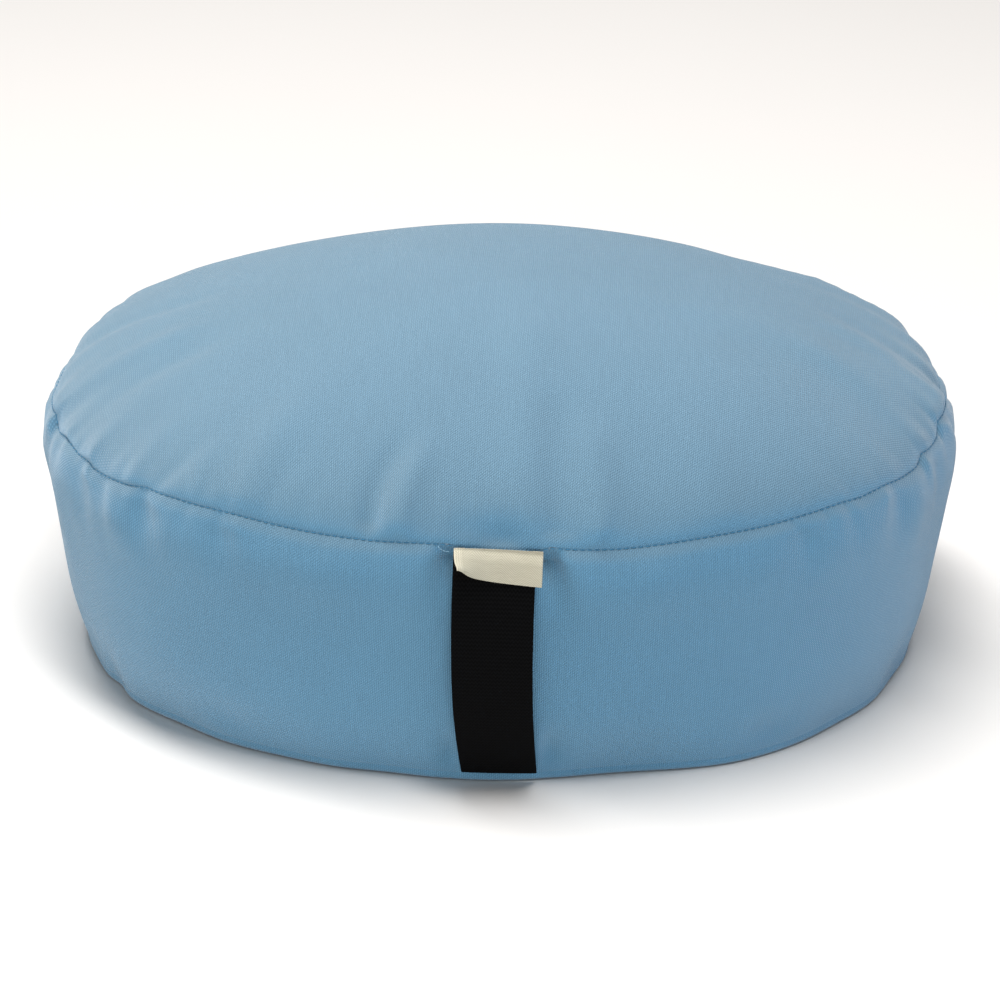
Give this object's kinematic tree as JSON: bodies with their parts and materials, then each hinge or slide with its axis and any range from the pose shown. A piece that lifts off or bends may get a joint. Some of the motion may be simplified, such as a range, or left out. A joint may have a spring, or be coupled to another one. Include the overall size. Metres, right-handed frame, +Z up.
{
  "type": "oval meditation cushion",
  "caption": "Oval filled floor cushion with a domed top, a drawn-in side band, sewn seams, a webbing handle strap on the front and a small plain tape label.",
  "frame": {"origin": "on the floor, at the middle of the flat underside", "axes": "+X along the oval's long axis, -Y towards the handle strap, +Z up"},
  "size_m": [0.4621, 0.3502, 0.1965],
  "materials": {
    "cover": "fine cotton twill, matt, dusty sky blue",
    "webbing": "black cotton webbing, coarse flat weave",
    "tape": "undyed herringbone tape, matt"
  },
  "bodies": {
    "root": {"cushion": "cover", "handle_strap": "webbing", "label": "tape"}
  },
  "joints": []
}
